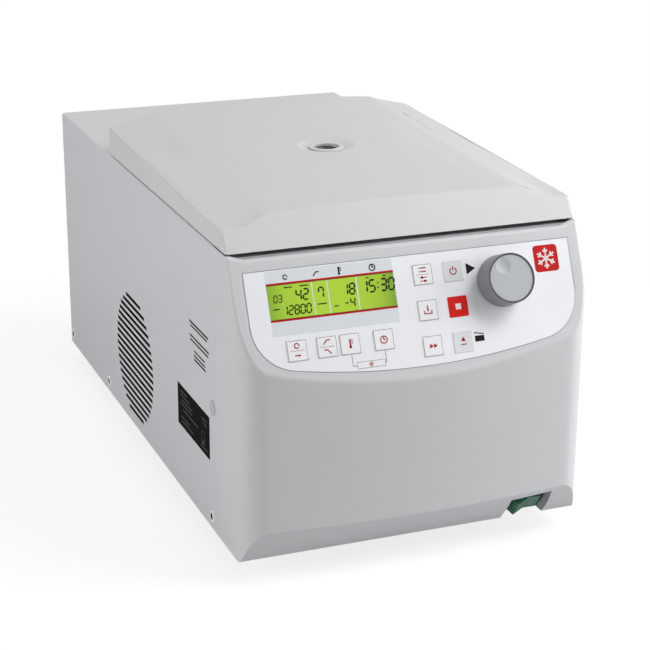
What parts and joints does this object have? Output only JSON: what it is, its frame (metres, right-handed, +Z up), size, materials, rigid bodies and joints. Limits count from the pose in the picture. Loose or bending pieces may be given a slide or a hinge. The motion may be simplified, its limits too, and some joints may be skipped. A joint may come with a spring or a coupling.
{
  "type": "laboratory centrifuge",
  "caption": "Bench-top refrigerated laboratory centrifuge with a hinged lid, a sloping key and display panel, a rotor in a steel bowl and a cooling unit.",
  "frame": {"origin": "on the bench, under the middle of the footprint", "axes": "+X to the right seen from the front, +Y to the rear, +Z up"},
  "size_m": [0.284, 0.545, 0.288],
  "materials": {
    "housing_enamel": "satin light grey enamel",
    "front_moulding": "fine textured light grey moulding",
    "lid_moulding": "fine textured pale grey moulding",
    "sheet_steel": "galvanised sheet",
    "stainless": "drawn stainless steel",
    "copper": "dull copper tube",
    "foam": "closed-cell foam",
    "rubber_black": "black rubber",
    "rubber_grey": "grey rubber",
    "motor_cast": "cast aluminium",
    "bright_steel": "ground steel",
    "rotor_alu": "anodised aluminium",
    "dark_plastic": "black moulding",
    "liner_plastic": "pale grey sheet",
    "window_clear": "clear polycarbonate",
    "compressor_black": "black lacquer",
    "board_green": "solder mask",
    "lcd_green": "yellow-green display",
    "foil_white": "satin white polyester foil",
    "key_white": "satin white",
    "key_red": "satin red",
    "key_grey": "pale grey",
    "knob_grey": "mid grey moulding",
    "rocker_green": "translucent green",
    "plate_black": "printed black film",
    "plug_grey": "grey moulding"
  },
  "bodies": {
    "chassis": {"base_pan": "sheet_steel", "housing_cover": "housing_enamel", "rear_panel": "housing_enamel", "front_panel": "front_moulding", "top_frame": "liner_plastic", "chamber_bowl": "stainless", "evaporator_jacket": "copper", "bowl_insulation": "foam", "bowl_gasket": "rubber_grey", "bowl_boot": "rubber_black", "motor_housing": "motor_cast", "motor_plate": "motor_cast", "motor_dampers": "rubber_black", "shaft_bearings": "bright_steel", "hinge_brackets": "sheet_steel", "hinge_pins": "bright_steel", "lid_buffers": "rubber_black", "lid_lock": "dark_plastic", "compressor": "compressor_black", "condenser": "motor_cast", "fan_frame": "dark_plastic", "refrigerant_pipes": "copper", "power_board": "board_green", "control_board": "board_green", "lcd_module": "lcd_green", "display_window": "lcd_green", "panel_foil": "foil_white", "knob_encoder": "sheet_steel", "switch_housing": "dark_plastic", "mains_inlet": "dark_plastic", "feet": "rubber_black", "cover_screws": "bright_steel", "release_plug": "plug_grey", "rating_plate": "plate_black"},
    "lid": {"lid_shell": "lid_moulding", "lid_liner": "liner_plastic", "lid_window": "window_clear", "window_bezel": "lid_moulding", "latch_hook": "bright_steel", "hinge_arms": "sheet_steel"},
    "rotor": {"drive_shaft": "bright_steel", "rotor_body": "rotor_alu", "rotor_lid": "rotor_alu"},
    "rotor_nut": {"rotor_nut": "dark_plastic"},
    "fan": {"fan_impeller": "dark_plastic"},
    "knob": {"control_knob": "knob_grey", "encoder_spindle": "bright_steel"},
    "power_rocker": {"power_rocker": "rocker_green"},
    "lock_bolt": {"lock_bolt": "bright_steel"},
    "program_key": {"program_key": "key_white"},
    "store_key": {"store_key": "key_white"},
    "quick_spin_key": {"quick_spin_key": "key_white"},
    "speed_key": {"speed_key": "key_white"},
    "ramp_key": {"ramp_key": "key_white"},
    "temperature_key": {"temperature_key": "key_white"},
    "time_key": {"time_key": "key_white"},
    "start_key": {"start_key": "key_grey"},
    "stop_key": {"stop_key": "key_red"},
    "lid_open_key": {"lid_open_key": "key_grey"}
  },
  "joints": [
    {"name": "lid_hinge", "type": "hinge", "parent": "chassis", "child": "lid", "pos_m": [0, 0.0867, 0.265], "axis": [-1, 0, 0], "range_deg": [0, 80]},
    {"name": "rotor_spin", "type": "hinge", "parent": "chassis", "child": "rotor", "pos_m": [0, -0.064, 0.17], "axis": [0, 0, 1], "continuous": true},
    {"name": "rotor_nut_turn", "type": "hinge", "parent": "rotor", "child": "rotor_nut", "pos_m": [0, -0.064, 0.212], "axis": [0, 0, 1], "continuous": true},
    {"name": "fan_spin", "type": "hinge", "parent": "chassis", "child": "fan", "pos_m": [-0.1293, 0.03096, 0.0835], "axis": [1, 0, 0], "continuous": true},
    {"name": "knob_turn", "type": "hinge", "parent": "chassis", "child": "knob", "pos_m": [0.071, -0.25067, 0.21678], "axis": [0, -0.9135, 0.4067], "continuous": true},
    {"name": "rocker_tip", "type": "hinge", "parent": "chassis", "child": "power_rocker", "pos_m": [0.0951, -0.2513, 0.0325], "axis": [0, 0.6001, -0.7999], "range_deg": [0, 24]},
    {"name": "bolt_slide", "type": "slide", "parent": "chassis", "child": "lock_bolt", "axis": [-1, 0, 0], "range_m": [0, 0.014], "stiffness_N_per_m": 150},
    {"name": "program_key_press", "type": "slide", "parent": "chassis", "child": "program_key", "axis": [0, 0.9135, -0.4067], "range_m": [0, 0.0006], "stiffness_N_per_m": 600},
    {"name": "store_key_press", "type": "slide", "parent": "chassis", "child": "store_key", "axis": [0, 0.9135, -0.4067], "range_m": [0, 0.0006], "stiffness_N_per_m": 600},
    {"name": "quick_spin_key_press", "type": "slide", "parent": "chassis", "child": "quick_spin_key", "axis": [0, 0.9135, -0.4067], "range_m": [0, 0.0006], "stiffness_N_per_m": 600},
    {"name": "speed_key_press", "type": "slide", "parent": "chassis", "child": "speed_key", "axis": [0, 0.9135, -0.4067], "range_m": [0, 0.0006], "stiffness_N_per_m": 600},
    {"name": "ramp_key_press", "type": "slide", "parent": "chassis", "child": "ramp_key", "axis": [0, 0.9135, -0.4067], "range_m": [0, 0.0006], "stiffness_N_per_m": 600},
    {"name": "temperature_key_press", "type": "slide", "parent": "chassis", "child": "temperature_key", "axis": [0, 0.9135, -0.4067], "range_m": [0, 0.0006], "stiffness_N_per_m": 600},
    {"name": "time_key_press", "type": "slide", "parent": "chassis", "child": "time_key", "axis": [0, 0.9135, -0.4067], "range_m": [0, 0.0006], "stiffness_N_per_m": 600},
    {"name": "start_key_press", "type": "slide", "parent": "chassis", "child": "start_key", "axis": [0, 0.9135, -0.4067], "range_m": [0, 0.0006], "stiffness_N_per_m": 600},
    {"name": "stop_key_press", "type": "slide", "parent": "chassis", "child": "stop_key", "axis": [0, 0.9135, -0.4067], "range_m": [0, 0.0006], "stiffness_N_per_m": 600},
    {"name": "lid_open_key_press", "type": "slide", "parent": "chassis", "child": "lid_open_key", "axis": [0, 0.9135, -0.4067], "range_m": [0, 0.0006], "stiffness_N_per_m": 600}
  ]
}
